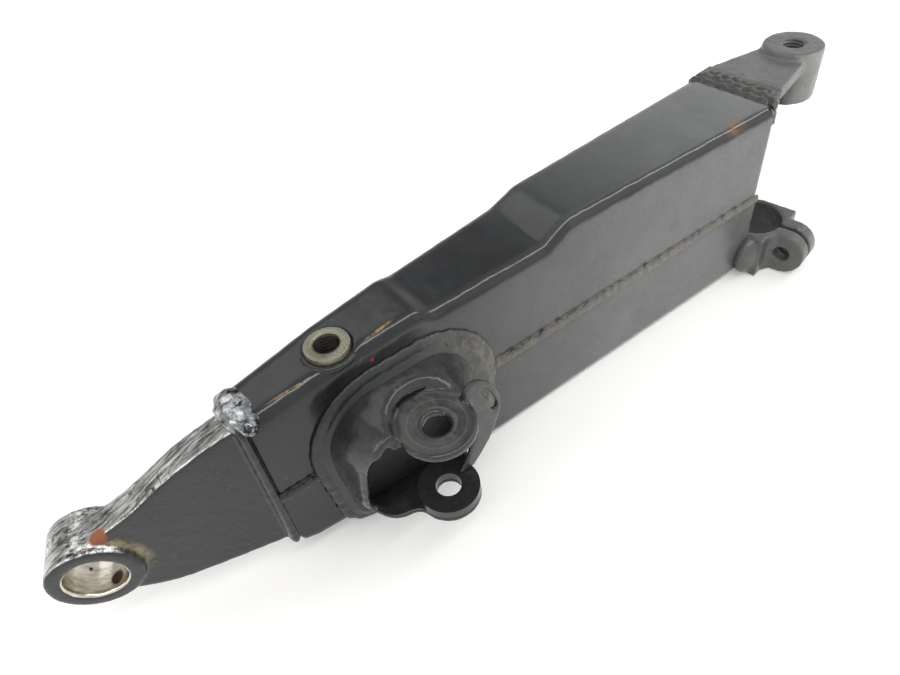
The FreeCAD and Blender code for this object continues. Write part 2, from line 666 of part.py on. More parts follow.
pieces = [eyeBody, upperShell, lowerShell, insertBody, lugBody, clampBody, cup, discBody, nearWeld, lugWeld,
          nearSeam, farSeam, backSeam, cupBeadFeature]
for thing in doc.Objects:
    if "Invalid" in thing.State or "Error" in thing.State:
        raise RuntimeError("%s is %s" % (thing.Label, thing.State))
for piece in pieces:
    if piece.Shape.isNull() or not piece.Shape.isValid() or not piece.Shape.Solids:
        raise RuntimeError(piece.Label + " has no valid solid")
os.makedirs("parts", exist_ok=True)
for piece in pieces:
    piece.Shape.exportStep("parts/%s.step" % piece.Label)
    box = piece.Shape.BoundBox
    print(piece.Label, round(piece.Shape.Volume), len(piece.Shape.Solids),
          [round(v, 1) for v in (box.XMin, box.XMax, box.YMin, box.YMax, box.ZMin, box.ZMax)])
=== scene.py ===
import bmesh
import bpy
import math
import numpy as np
from mathutils import Matrix, Vector


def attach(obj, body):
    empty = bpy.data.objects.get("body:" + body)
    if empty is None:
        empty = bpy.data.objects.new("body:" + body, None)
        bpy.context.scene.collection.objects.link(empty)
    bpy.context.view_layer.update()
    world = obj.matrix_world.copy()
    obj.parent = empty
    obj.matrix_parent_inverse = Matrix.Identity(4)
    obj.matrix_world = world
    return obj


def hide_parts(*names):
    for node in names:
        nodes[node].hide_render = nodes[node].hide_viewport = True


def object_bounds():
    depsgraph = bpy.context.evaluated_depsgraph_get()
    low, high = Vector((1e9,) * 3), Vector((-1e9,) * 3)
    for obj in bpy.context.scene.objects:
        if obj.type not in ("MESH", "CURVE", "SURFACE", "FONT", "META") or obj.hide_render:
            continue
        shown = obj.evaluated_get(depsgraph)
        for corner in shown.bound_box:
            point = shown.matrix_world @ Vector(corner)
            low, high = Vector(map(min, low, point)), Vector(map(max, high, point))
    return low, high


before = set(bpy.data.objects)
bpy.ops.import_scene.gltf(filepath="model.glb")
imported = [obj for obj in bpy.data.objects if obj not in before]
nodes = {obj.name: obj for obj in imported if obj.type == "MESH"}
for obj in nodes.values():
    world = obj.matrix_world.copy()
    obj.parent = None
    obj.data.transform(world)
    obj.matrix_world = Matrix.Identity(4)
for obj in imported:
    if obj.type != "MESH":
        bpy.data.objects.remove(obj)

cadLow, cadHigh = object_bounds()
print("stage: frame loaded,", len(nodes), "nodes")

# Camera, floor and light

cameraSettings = {
    "place": (0.04345, -0.20291, 0.23509),
    "right": (0.77067, -0.62840, -0.10575),
    "down": (-0.50722, -0.50447, -0.69875),
    "lensMm": 28.0,
    "sensorMm": 36.0,
    "clipStart": 0.005,
}

lightSettings = {
    "floorTone": "#F4F3F1",
    "floorGlow": 0.26,
    "floorReach": 6.0,
    "floorDrop": 0.0002,
    "worldTone": "#FFFFFF",
    "worldDiffuse": 0.66,
    "worldGlossy": 0.90,
    "dimWay": (0.05, 0.78, 0.62),     # the dim side of the room, behind and above the arm
    "dimFrom": (0.50, 0.93),
    "dimTo": 0.45,
    # name, place, aim, watts, width, height
    "lamps": (
        ("softKey", (0.10, 0.60, 0.95), (0.20, -0.03, 0.0), 2.2, 0.8, 0.8),
        ("softFill", (0.9, -0.9, 0.7), (0.20, -0.03, 0.0), 0.6, 0.8, 0.8),
        ("stripFront", (0.60, -0.36, 0.78), (0.60, -0.03, 0.0), 5.4, 2.4, 0.09),
        ("stripSide", (-0.70, 0.05, 0.50), (0.0, 0.0, 0.0), 1.2, 0.06, 0.8),
    ),
}


def hexToLinear(code):
    # sRGB hex to linear light: c / 12.92 up to 0.04045, ((c + 0.055) / 1.055) to the power 2.4 above it
    parts = np.array([int(code[i:i + 2], 16) for i in (1, 3, 5)]) / 255.0
    parts = np.where(parts <= 0.04045, parts / 12.92, ((parts + 0.055) / 1.055) ** 2.4)
    return (float(parts[0]), float(parts[1]), float(parts[2]), 1.0)


def addNode(tree, kind, settings=None, links=None, output=0):
    # One shader node: settings are properties or unlinked socket values, links are socket: (node, output)
    node = tree.nodes.new(kind)
    for key, value in (settings or {}).items():
        if isinstance(key, int) or key in node.inputs:
            node.inputs[key].default_value = value
        else:
            setattr(node, key, value)
    for key, source in (links or {}).items():
        tree.links.new(source[0].outputs[source[1]], node.inputs[key])
    return (node, output)


def setCamera():
    data = bpy.data.cameras.new("photoCamera")
    data.lens = cameraSettings["lensMm"]
    data.sensor_width = cameraSettings["sensorMm"]
    data.clip_start = cameraSettings["clipStart"]
    camera = bpy.data.objects.new("photoCamera", data)
    right = Vector(cameraSettings["right"]).normalized()
    up = -Vector(cameraSettings["down"])
    up = (up - right * up.dot(right)).normalized()
    turn = Matrix((right, up, right.cross(up))).transposed().to_4x4()
    camera.matrix_world = Matrix.Translation(cameraSettings["place"]) @ turn
    bpy.context.scene.collection.objects.link(camera)
    bpy.context.scene.camera = camera


def setWorld():
    # White to the camera, plain to the paint, and dimmer on one side of the room in its gloss
    look = lightSettings
    world = bpy.data.worlds.new("paleRoom")
    bpy.context.scene.world = world
    world.use_nodes = True
    tree = world.node_tree
    tree.nodes.clear()
    path = addNode(tree, "ShaderNodeLightPath")[0]
    tone = hexToLinear(look["worldTone"])
    plain = addNode(tree, "ShaderNodeBackground", {"Color": tone, "Strength": look["worldDiffuse"]})
    seen = addNode(tree, "ShaderNodeBackground", {"Color": tone, "Strength": 1.0})
    way = addNode(tree, "ShaderNodeTexCoord", None, None, "Generated")
    toward = addNode(tree, "ShaderNodeVectorMath", {"operation": "DOT_PRODUCT", 1: look["dimWay"]}, {0: way}, 1)
    level = addNode(tree, "ShaderNodeMapRange", {
        "From Min": look["dimFrom"][0], "From Max": look["dimFrom"][1],
        "To Min": look["worldGlossy"], "To Max": look["dimTo"]}, {"Value": toward})
    gloss = addNode(tree, "ShaderNodeBackground", {"Color": tone}, {"Strength": level})
    lit = addNode(tree, "ShaderNodeMixShader", None, {0: (path, "Is Glossy Ray"), 1: plain, 2: gloss})
    both = addNode(tree, "ShaderNodeMixShader", None, {0: (path, "Is Camera Ray"), 1: lit, 2: seen})
    addNode(tree, "ShaderNodeOutputWorld", None, {"Surface": both})


def addLamp(name, place, aim, power, width, height):
    data = bpy.data.lights.new(name, "AREA")
    data.shape = "RECTANGLE"
    data.energy = power
    data.size = width
    data.size_y = height
    lamp = bpy.data.objects.new(name, data)
    lamp.location = place
    away = Vector(aim) - Vector(place)
    lamp.rotation_euler = away.to_track_quat("-Z", "Y").to_euler()
    bpy.context.scene.collection.objects.link(lamp)


def addFloor():
    # A flat pale square just under the arm's lowest point: it shows near white and keeps the shadow
    look = lightSettings
    z = cadLow[2] - look["floorDrop"]
    r = look["floorReach"]
    mesh = bpy.data.meshes.new("floor")
    mesh.from_pydata([(-r, -r, z), (r, -r, z), (r, r, z), (-r, r, z)], [], [(0, 1, 2, 3)])
    floor = bpy.data.objects.new("floor", mesh)
    bpy.context.scene.collection.objects.link(floor)
    material, tree = newMaterial("paleFloor")
    path = addNode(tree, "ShaderNodeLightPath")[0]
    tone = hexToLinear(look["floorTone"])
    body = addNode(tree, "ShaderNodeBsdfDiffuse", {"Color": tone})
    glow = addNode(tree, "ShaderNodeEmission", {"Color": tone, "Strength": look["floorGlow"]})
    shown = addNode(tree, "ShaderNodeAddShader", None, {0: body, 1: glow})
    seen = addNode(tree, "ShaderNodeMath", {"operation": "MAXIMUM"}, {
        0: (path, "Is Camera Ray"), 1: (path, "Is Glossy Ray")})
    both = addNode(tree, "ShaderNodeMixShader", None, {0: seen, 1: body, 2: shown})
    addNode(tree, "ShaderNodeOutputMaterial", None, {"Surface": both})
    mesh.materials.append(material)


def newMaterial(name):
    material = bpy.data.materials.new(name)
    material.use_nodes = True
    material.node_tree.nodes.clear()
    return material, material.node_tree


bpy.context.scene.view_settings.view_transform = "Standard"
setCamera()
setWorld()
addFloor()
for lampRow in lightSettings["lamps"]:
    addLamp(*lampRow)
print("stage: camera and light set")

# Paint and bare steel

paintSettings = {
    "deep": "#131517",              # satin black, still whole
    "worn": "#222426",              # rubbed, chalky
    "filmAndPaintedLight": "#727473",              # grey of the road film, and of the painted reflection and painted light laid over the paint
    "paintedReflectionFront": (0.100, 0.250),    # along the arm, where the painted reflection on faces looking forward starts and is full
    "paintedReflectionTop": (0.190, 0.340),      # the same painted reflection on faces that look up
    "filmAll": 0.0,                 # film on every face, in hollows too
    "edge": 0.0,                    # how far the long front edge is rubbed glossy; there the painted reflection is taken off its colour
    "edgeRough": 0.16,
    "marks": (),                    # scratches and rust spots, as in shellMarks
    "rings": None,                  # turning marks: centre x, y, least height and outer radius
    "paintedLightInCup": None,                 # a patch of painted light on the front face inside the cup: middle x, z and half width, metres
    "rust": "#5E3B27",
    "dust": "#827660",
    "dusty": 0.0,                   # how much dust lies in the surface's grain
    "dustFrom": (-1.0, -0.9),       # along the arm, where the dust starts and is full
    "rough": (0.16, 0.34),
    "peelMm": 1.6,
    "peel": 0.10,
    "softMm": 26.0,
    "soft": 0.35,
    "castMm": 2.0,
    "cast": 0.0,
    "blotchMm": 45.0,
    "speckMm": 7.0,
}
steelSettings = {
    "bright": "#D2CFC8",
    "dull": "#77746D",
    "rough": (0.22, 0.5),
    "grainMm": 0.8,
    "broadMm": 9.0,
    "stretch": (1.0, 1.0, 1.0),     # over 1 draws the grain out along that axis, after the turn
    "turn": (0.0, 0.0, 0.0),
}


def surfaceParts(tree):
    # Place in metres, its X, Y and Z, and the way the face looks
    place = addNode(tree, "ShaderNodeTexCoord", None, None, "Object")
    split = addNode(tree, "ShaderNodeSeparateXYZ", None, {0: place})[0]
    normal = addNode(tree, "ShaderNodeNewGeometry", None, None, "Normal")
    facing = addNode(tree, "ShaderNodeSeparateXYZ", None, {0: normal})[0]
    return place, split, facing


def steelLayer(tree, place, look):
    # Colour, roughness and grain of bare steel: dull and bright streaks, with broad dull patches
    laid = addNode(tree, "ShaderNodeMapping", {
        "vector_type": "TEXTURE", "Scale": look["stretch"], "Rotation": look["turn"]}, {"Vector": place})
    grain = addNode(tree, "ShaderNodeTexNoise", {
        "Scale": 1000.0 / look["grainMm"], "Detail": 4.0, "Roughness": 0.7}, {"Vector": laid})
    broad = addNode(tree, "ShaderNodeTexNoise", {
        "Scale": 1000.0 / look["broadMm"], "Detail": 3.0, "Roughness": 0.6}, {"Vector": place})
    streak = addNode(tree, "ShaderNodeMapRange", {"From Min": 0.35, "From Max": 0.65}, {"Value": grain})
    patch = addNode(tree, "ShaderNodeMapRange", {"From Min": 0.45, "From Max": 0.7, "To Max": 0.6},
                    {"Value": broad})
    tone = addNode(tree, "ShaderNodeMix", {
        "data_type": "RGBA", 6: hexToLinear(look["dull"]), 7: hexToLinear(look["bright"])}, {0: streak}, 2)
    tone = addNode(tree, "ShaderNodeMix", {"data_type": "RGBA", 7: hexToLinear(look["dull"])},
                   {0: patch, 6: tone}, 2)
    rough = addNode(tree, "ShaderNodeMapRange", {
        "From Min": 0.3, "From Max": 0.7, "To Min": look["rough"][0], "To Max": look["rough"][1]},
        {"Value": grain})
    return tone, rough, grain


def paintLayer(tree, place, split, facing, look):
    # Colour and roughness of satin black paint: chalky blotches, grey film, painted reflection on front and top faces
    # towards the far end, painted light inside the cup, dust and rust pinholes
    blotch = addNode(tree, "ShaderNodeTexNoise", {
        "Scale": 1000.0 / look["blotchMm"], "Detail": 5.0, "Roughness": 0.6, "Distortion": 0.4},
        {"Vector": place})
    amount = addNode(tree, "ShaderNodeMapRange", {"From Min": 0.38, "From Max": 0.68}, {"Value": blotch})
    tone = addNode(tree, "ShaderNodeMix", {
        "data_type": "RGBA", 6: hexToLinear(look["deep"]), 7: hexToLinear(look["worn"])}, {0: amount}, 2)
    filmAndPaintedLight = None
    # painted reflection: faces looking forward and faces looking up are made lighter grey towards the far end
    for output, away, ends in ((1, -1.0, look["paintedReflectionFront"]), (2, 1.0, look["paintedReflectionTop"])):
        looks = addNode(tree, "ShaderNodeMapRange", {"From Min": 0.2 * away, "From Max": 0.8 * away},
                        {"Value": (facing, output)})
        along = addNode(tree, "ShaderNodeMapRange", {"From Min": ends[0], "From Max": ends[1]},
                        {"Value": (split, 0)})
        part = addNode(tree, "ShaderNodeMath", {"operation": "MULTIPLY"}, {0: looks, 1: along})
        if filmAndPaintedLight:
            filmAndPaintedLight = addNode(tree, "ShaderNodeMath", {"operation": "ADD", "use_clamp": True}, {0: filmAndPaintedLight, 1: part})
        else:
            filmAndPaintedLight = part
    filmAndPaintedLight = addNode(tree, "ShaderNodeMath", {"operation": "MAXIMUM", 1: look["filmAll"]}, {0: filmAndPaintedLight})
    # painted light: front faces inside the cup's foot take the full grey, standing in for light falling into the cup
    if look["paintedLightInCup"]:
        x, z, half = look["paintedLightInCup"]
        patch = addNode(tree, "ShaderNodeMath", {"operation": "LESS_THAN", 1: -0.5}, {0: (facing, 1)})
        for output, centre in ((0, x), (2, z)):
            off = addNode(tree, "ShaderNodeMath", {"operation": "SUBTRACT", 1: centre}, {0: (split, output)})
            off = addNode(tree, "ShaderNodeMath", {"operation": "ABSOLUTE"}, {0: off})
            part = addNode(tree, "ShaderNodeMath", {"operation": "LESS_THAN", 1: half}, {0: off})
            patch = addNode(tree, "ShaderNodeMath", {"operation": "MULTIPLY"}, {0: patch, 1: part})
        filmAndPaintedLight = addNode(tree, "ShaderNodeMath", {"operation": "MAXIMUM"}, {0: filmAndPaintedLight, 1: patch})
    edge = None
    if look["edge"]:
        upwards = addNode(tree, "ShaderNodeMapRange", {"From Min": 0.25, "From Max": 0.45}, {"Value": (facing, 2)})
        outwards = addNode(tree, "ShaderNodeMapRange", {"From Min": -0.25, "From Max": -0.45},
                           {"Value": (facing, 1)})
        edge = addNode(tree, "ShaderNodeMath", {"operation": "MULTIPLY"}, {0: upwards, 1: outwards})
        # on the rubbed edge the grey film and the painted reflection are taken off the colour
        rest = addNode(tree, "ShaderNodeMapRange", {"To Min": 1.0, "To Max": 1.0 - look["edge"]}, {"Value": edge})
        filmAndPaintedLight = addNode(tree, "ShaderNodeMath", {"operation": "MULTIPLY"}, {0: filmAndPaintedLight, 1: rest})
    streak = addNode(tree, "ShaderNodeTexNoise", {
        "Scale": 1000.0 / 30.0, "Detail": 6.0, "Roughness": 0.7, "Distortion": 0.6}, {"Vector": place})
    uneven = addNode(tree, "ShaderNodeMapRange", {
        "From Min": 0.25, "From Max": 0.75, "To Min": 0.62, "To Max": 1.0}, {"Value": streak})
    filmAndPaintedLight = addNode(tree, "ShaderNodeMath", {"operation": "MULTIPLY"}, {0: filmAndPaintedLight, 1: uneven})
    # the grey of the film and of the painted light, mixed over the paint colour
    tone = addNode(tree, "ShaderNodeMix", {"data_type": "RGBA", 7: hexToLinear(look["filmAndPaintedLight"])},
                   {0: filmAndPaintedLight, 6: tone}, 2)
    speck = addNode(tree, "ShaderNodeTexNoise", {
        "Scale": 1000.0 / look["speckMm"], "Detail": 4.0, "Roughness": 0.75}, {"Vector": place})
    patch = addNode(tree, "ShaderNodeTexNoise", {
        "Scale": 1000.0 / 60.0, "Detail": 3.0, "Roughness": 0.6}, {"Vector": place})
    spots = addNode(tree, "ShaderNodeMapRange", {"From Min": 0.645, "From Max": 0.70}, {"Value": speck})
    where = addNode(tree, "ShaderNodeMapRange", {"From Min": 0.47, "From Max": 0.58}, {"Value": patch})
    rust = addNode(tree, "ShaderNodeMath", {"operation": "MULTIPLY"}, {0: spots, 1: where})
    tone = addNode(tree, "ShaderNodeMix", {"data_type": "RGBA", 7: hexToLinear(look["rust"])},
                   {0: rust, 6: tone}, 2)
    if look["dusty"]:
        dirt = addNode(tree, "ShaderNodeTexNoise", {"Scale": 1000.0 / 5.0, "Detail": 4.0, "Roughness": 0.7},
                       {"Vector": place})
        dirt = addNode(tree, "ShaderNodeMapRange", {"From Min": 0.42, "From Max": 0.66, "To Max": look["dusty"]},
                       {"Value": dirt})
        along = addNode(tree, "ShaderNodeMapRange", {
            "From Min": look["dustFrom"][0], "From Max": look["dustFrom"][1]}, {"Value": (split, 0)})
        dirt = addNode(tree, "ShaderNodeMath", {"operation": "MULTIPLY"}, {0: dirt, 1: along})
        tone = addNode(tree, "ShaderNodeMix", {"data_type": "RGBA", 7: hexToLinear(look["dust"])},
                       {0: dirt, 6: tone}, 2)
    smear = addNode(tree, "ShaderNodeTexNoise", {
        "Scale": 1000.0 / 14.0, "Detail": 5.0, "Roughness": 0.65, "Distortion": 0.2}, {"Vector": place})
    rough = addNode(tree, "ShaderNodeMapRange", {
        "From Min": 0.3, "From Max": 0.7, "To Min": look["rough"][0], "To Max": look["rough"][1]},
        {"Value": smear})
    if edge:
        rough = addNode(tree, "ShaderNodeMix", {"data_type": "FLOAT", 3: look["edgeRough"]}, {0: edge, 2: rough})
    if look["rings"]:
        # turning marks: noise read along the distance from the axis alone
        flat = addNode(tree, "ShaderNodeCombineXYZ", None, {0: (split, 0), 1: (split, 1)})
        centre = look["rings"][:2] + (0.0,)
        away = addNode(tree, "ShaderNodeVectorMath", {"operation": "DISTANCE", 1: centre}, {0: flat}, 1)
        line = addNode(tree, "ShaderNodeCombineXYZ", None, {0: away})
        rings = addNode(tree, "ShaderNodeTexNoise", {"Scale": 1000.0 / 1.3, "Detail": 3.0}, {"Vector": line})
        rings = addNode(tree, "ShaderNodeMapRange", {"From Min": 0.5, "From Max": 0.7, "To Max": 0.30},
                        {"Value": rings})
        within = addNode(tree, "ShaderNodeMath", {"operation": "LESS_THAN", 1: look["rings"][3]}, {0: away})
        rings = addNode(tree, "ShaderNodeMath", {"operation": "MULTIPLY"}, {0: within, 1: rings})
        above = addNode(tree, "ShaderNodeMath", {"operation": "GREATER_THAN", 1: look["rings"][2]},
                        {0: (split, 2)})
        level = addNode(tree, "ShaderNodeMapRange", {"From Min": 0.8, "From Max": 0.95}, {"Value": (facing, 2)})
        above = addNode(tree, "ShaderNodeMath", {"operation": "MULTIPLY"}, {0: above, 1: level})
        rings = addNode(tree, "ShaderNodeMath", {"operation": "MULTIPLY"}, {0: above, 1: rings})
        tone = addNode(tree, "ShaderNodeMix", {"data_type": "RGBA", 7: hexToLinear(look["dust"])},
                       {0: rings, 6: tone}, 2)
    for middle, half, turn, colour, strength in look["marks"]:
        # an egg-shaped mark: full where the place in the egg's own frame is well within length 1
        within = addNode(tree, "ShaderNodeMapping", {
            "vector_type": "TEXTURE", "Location": middle, "Rotation": turn, "Scale": half}, {"Vector": place})
        off = addNode(tree, "ShaderNodeVectorMath", {"operation": "LENGTH"}, {0: within}, 1)
        mark = addNode(tree, "ShaderNodeMapRange", {"From Min": 1.0, "From Max": 0.3, "To Max": strength},
                       {"Value": off})
        ragged = addNode(tree, "ShaderNodeTexNoise", {"Scale": 1000.0 / 2.2, "Detail": 5.0, "Roughness": 0.8},
                         {"Vector": place})
        ragged = addNode(tree, "ShaderNodeMapRange", {"From Min": 0.38, "From Max": 0.56}, {"Value": ragged})
        mark = addNode(tree, "ShaderNodeMath", {"operation": "MULTIPLY"}, {0: mark, 1: ragged})
        tone = addNode(tree, "ShaderNodeMix", {"data_type": "RGBA", 7: hexToLinear(colour)},
                       {0: mark, 6: tone}, 2)
    return tone, rough


def paintBump(tree, place, look):
    # Fine peel over soft press marks, and a cast grain where the piece is cast
    rows = ((look["peelMm"], look["peel"], 0.0002), (look["softMm"], look["soft"], 0.0012),
            (look["castMm"], look["cast"], 0.0005))
    bump = None
    for spacingMm, strength, distance in rows:
        if strength:
            height = addNode(tree, "ShaderNodeTexNoise", {
                "Scale": 1000.0 / spacingMm, "Detail": 3.0, "Roughness": 0.55}, {"Vector": place})
            links = {"Height": height}
            if bump:
                links["Normal"] = bump
            bump = addNode(tree, "ShaderNodeBump", {"Strength": strength, "Distance": distance}, links)
    return bump


def paintMaterial(name, change=None):
    # Satin black paint on steel, greyed where road film lies, and lighter where painted reflection and painted light
    # are laid
    look = dict(paintSettings)
    look.update(change or {})
    material, tree = newMaterial(name)
    place, split, facing = surfaceParts(tree)
    tone, rough = paintLayer(tree, place, split, facing, look)
    shader = addNode(tree, "ShaderNodeBsdfPrincipled", {"IOR": 1.5}, {
        "Base Color": tone, "Roughness": rough, "Normal": paintBump(tree, place, look)})
    addNode(tree, "ShaderNodeOutputMaterial", None, {"Surface": shader})
    return material


def steelMaterial(name, change):
    # Bare steel, dulled by handling
    look = dict(steelSettings)
    look.update(change)
    material, tree = newMaterial(name)
    place = surfaceParts(tree)[0]
    tone, rough, grain = steelLayer(tree, place, look)
    bump = addNode(tree, "ShaderNodeBump", {"Strength": 0.2, "Distance": 0.0002}, {"Height": grain})
    shader = addNode(tree, "ShaderNodeBsdfPrincipled", {"Metallic": 1.0}, {
        "Base Color": tone, "Roughness": rough, "Normal": bump})
    addNode(tree, "ShaderNodeOutputMaterial", None, {"Surface": shader})
    return material


ringSettings = {"centre": (0.1055, -0.0260), "bore": (0.0056, 0.0048), "boreDark": "#1C1A17"}


def ringMaterial():
    # A dull plated ring with a dark bore: dark where the distance from the axis is under the bore's
    look = dict(steelSettings)
    look.update({"bright": "#A09E8E", "dull": "#6E6C5B", "rough": (0.36, 0.55)})
    material, tree = newMaterial("dullZincRing")
    place, split, facing = surfaceParts(tree)
    tone, rough, grain = steelLayer(tree, place, look)
    flat = addNode(tree, "ShaderNodeCombineXYZ", None, {0: (split, 0), 1: (split, 1)})
    centre = ringSettings["centre"] + (0.0,)
    away = addNode(tree, "ShaderNodeVectorMath", {"operation": "DISTANCE", 1: centre}, {0: flat}, 1)
    inside = addNode(tree, "ShaderNodeMapRange", {
        "From Min": ringSettings["bore"][0], "From Max": ringSettings["bore"][1]}, {"Value": away})
    tone = addNode(tree, "ShaderNodeMix", {"data_type": "RGBA", 7: hexToLinear(ringSettings["boreDark"])},
                   {0: inside, 6: tone}, 2)
    bump = addNode(tree, "ShaderNodeBump", {"Strength": 0.15, "Distance": 0.0002}, {"Height": grain})
    shader = addNode(tree, "ShaderNodeBsdfPrincipled", {"Metallic": 0.8}, {
        "Base Color": tone, "Roughness": rough, "Normal": bump})
    addNode(tree, "ShaderNodeOutputMaterial", None, {"Surface": shader})
    return material


eyeSettings = {
    "turnDeg": 20.0,                    # the bore's axis lies this far off the arm's Y
    "bore": (0.01195, 0.01180),         # distance from the axis, metres: painted, bare
    "bandInside": (0.0170, 0.0182),
    "bandOutside": (0.0222, 0.0196),
    "band": "#8C8064",                  # dried preserving grease in the corner behind the ring
    "boreBright": "#D8D2C6",
    "boreBrown": "#4A3D30",
    "scrapeFrom": (0.45, 0.66),         # how far up the face looks
    # middle of each brown or dark spot in the bore, in the turned frame, and its radius, metres
    "spots": (((0.0036, -0.0056, -0.0103), 0.0034), ((-0.0063, 0.0013, -0.0090), 0.0009)),
    "marks": (((0.0061, -0.0093, 0.0190), (0.0042, 0.0036, 0.0036), (0.0, 0.0, 0.0), "#8C5138", 1.0),),
    "steel": {"stretch": (9.0, 1.0, 1.0), "turn": (0.0, -0.56, -0.25), "bright": "#F2F1EE", "dull": "#33342F",
              "grainMm": 1.5, "broadMm": 16.0, "rough": (0.18, 0.4)},
}


def eyeMaterial():
    # Painted forging, scraped to bare steel along its top edge, with a machined bore
    look = eyeSettings
    paintLook = dict(paintSettings)
    paintLook.update({"cast": 0.3, "castMm": 1.8})
    steelLook = dict(steelSettings)
    steelLook.update(look["steel"])
    material, tree = newMaterial("scrapedForgedSteel")
    place, split, facing = surfaceParts(tree)
    tone, rough = paintLayer(tree, place, split, facing, paintLook)
    turned = addNode(tree, "ShaderNodeMapping", {"Rotation": (0.0, 0.0, math.radians(look["turnDeg"]))},
                     {"Vector": place})
    local = addNode(tree, "ShaderNodeSeparateXYZ", None, {0: turned})[0]
    flat = addNode(tree, "ShaderNodeCombineXYZ", None, {0: (local, 0), 2: (local, 2)})
    away = addNode(tree, "ShaderNodeVectorMath", {"operation": "LENGTH"}, {0: flat}, 1)
    # the grease band is the product of its five limits
    grain = addNode(tree, "ShaderNodeTexNoise", {"Scale": 333.0, "Detail": 4.0, "Roughness": 0.7},
                    {"Vector": place})
    band = None
    for source, ends in ((away, look["bandInside"]), (away, look["bandOutside"]), ((local, 0), (0.004, 0.011)),
                         ((local, 2), (-0.010, 0.0)), (grain, (0.35, 0.6))):
        part = addNode(tree, "ShaderNodeMapRange", {"From Min": ends[0], "From Max": ends[1]}, {"Value": source})
        if band:
            band = addNode(tree, "ShaderNodeMath", {"operation": "MULTIPLY"}, {0: band, 1: part})
        else:
            band = part
    tone = addNode(tree, "ShaderNodeMix", {"data_type": "RGBA", 7: hexToLinear(look["band"])},
                   {0: band, 6: tone}, 2)
    # scraped steel: where the face looks up, less a ragged noise and the paint left near the edges
    steelTone, steelRough, steelGrain = steelLayer(tree, place, steelLook)
    ragged = addNode(tree, "ShaderNodeTexNoise", {"Scale": 1000.0 / 6.0, "Detail": 5.0, "Roughness": 0.7},
                     {"Vector": place})
    scraped = None
    for source, ends in (((facing, 2), look["scrapeFrom"]), (ragged, (0.36, 0.46)), (away, (0.0150, 0.0165))):
        part = addNode(tree, "ShaderNodeMapRange", {"From Min": ends[0], "From Max": ends[1]}, {"Value": source})
        if scraped:
            scraped = addNode(tree, "ShaderNodeMath", {"operation": "MULTIPLY"}, {0: scraped, 1: part})
        else:
            scraped = part
    tone = addNode(tree, "ShaderNodeMix", {"data_type": "RGBA"}, {0: scraped, 6: tone, 7: steelTone}, 2)
    rough = addNode(tree, "ShaderNodeMix", {"data_type": "FLOAT"}, {0: scraped, 2: rough, 3: steelRough})
    for middle, half, turn, colour, strength in look["marks"]:
        within = addNode(tree, "ShaderNodeMapping", {
            "vector_type": "TEXTURE", "Location": middle, "Rotation": turn, "Scale": half}, {"Vector": place})
        off = addNode(tree, "ShaderNodeVectorMath", {"operation": "LENGTH"}, {0: within}, 1)
        mark = addNode(tree, "ShaderNodeMapRange", {"From Min": 1.0, "From Max": 0.75, "To Max": strength},
                       {"Value": off})
        tone = addNode(tree, "ShaderNodeMix", {"data_type": "RGBA", 7: hexToLinear(colour)},
                       {0: mark, 6: tone}, 2)
        rough = addNode(tree, "ShaderNodeMix", {"data_type": "FLOAT", 3: 0.7}, {0: mark, 2: rough})
        bare = addNode(tree, "ShaderNodeMath", {"operation": "SUBTRACT", 0: 1.0}, {1: mark})
        scraped = addNode(tree, "ShaderNodeMath", {"operation": "MULTIPLY"}, {0: scraped, 1: bare})
    # the bore: bright, turned round its axis, with brown stains
    inBore = addNode(tree, "ShaderNodeMapRange", {"From Min": look["bore"][0], "From Max": look["bore"][1]},
                     {"Value": away})
    drawn = addNode(tree, "ShaderNodeMapping", {"vector_type": "TEXTURE", "Scale": (5.0, 1.0, 5.0)},
                    {"Vector": turned})
    stain = addNode(tree, "ShaderNodeTexNoise", {"Scale": 1000.0 / 1.2, "Detail": 3.0}, {"Vector": drawn})
    stain = addNode(tree, "ShaderNodeMapRange", {"From Min": 0.45, "From Max": 0.75, "To Max": 0.5},
                    {"Value": stain})
    for centre, radius in look["spots"]:
        off = addNode(tree, "ShaderNodeVectorMath", {"operation": "DISTANCE", 1: centre}, {0: turned}, 1)
        spot = addNode(tree, "ShaderNodeMapRange", {"From Min": radius, "From Max": 0.7 * radius}, {"Value": off})
        stain = addNode(tree, "ShaderNodeMath", {"operation": "MAXIMUM"}, {0: stain, 1: spot})
    boreTone = addNode(tree, "ShaderNodeMix", {
        "data_type": "RGBA", 6: hexToLinear(look["boreBright"]), 7: hexToLinear(look["boreBrown"])},
        {0: stain}, 2)
    tone = addNode(tree, "ShaderNodeMix", {"data_type": "RGBA"}, {0: inBore, 6: tone, 7: boreTone}, 2)
    rough = addNode(tree, "ShaderNodeMix", {"data_type": "FLOAT", 3: 0.28}, {0: inBore, 2: rough})
    metal = addNode(tree, "ShaderNodeMath", {"operation": "MAXIMUM"}, {0: scraped, 1: inBore})
    shader = addNode(tree, "ShaderNodeBsdfPrincipled", {"IOR": 1.5}, {
        "Base Color": tone, "Roughness": rough, "Metallic": metal,
        "Normal": paintBump(tree, place, paintLook)})
    addNode(tree, "ShaderNodeOutputMaterial", None, {"Surface": shader})
    return material


def dress(name, material):
    piece = nodes[name]
    piece.data.materials.clear()
    piece.data.materials.append(material)


paint = paintMaterial("satinBlackPaint")
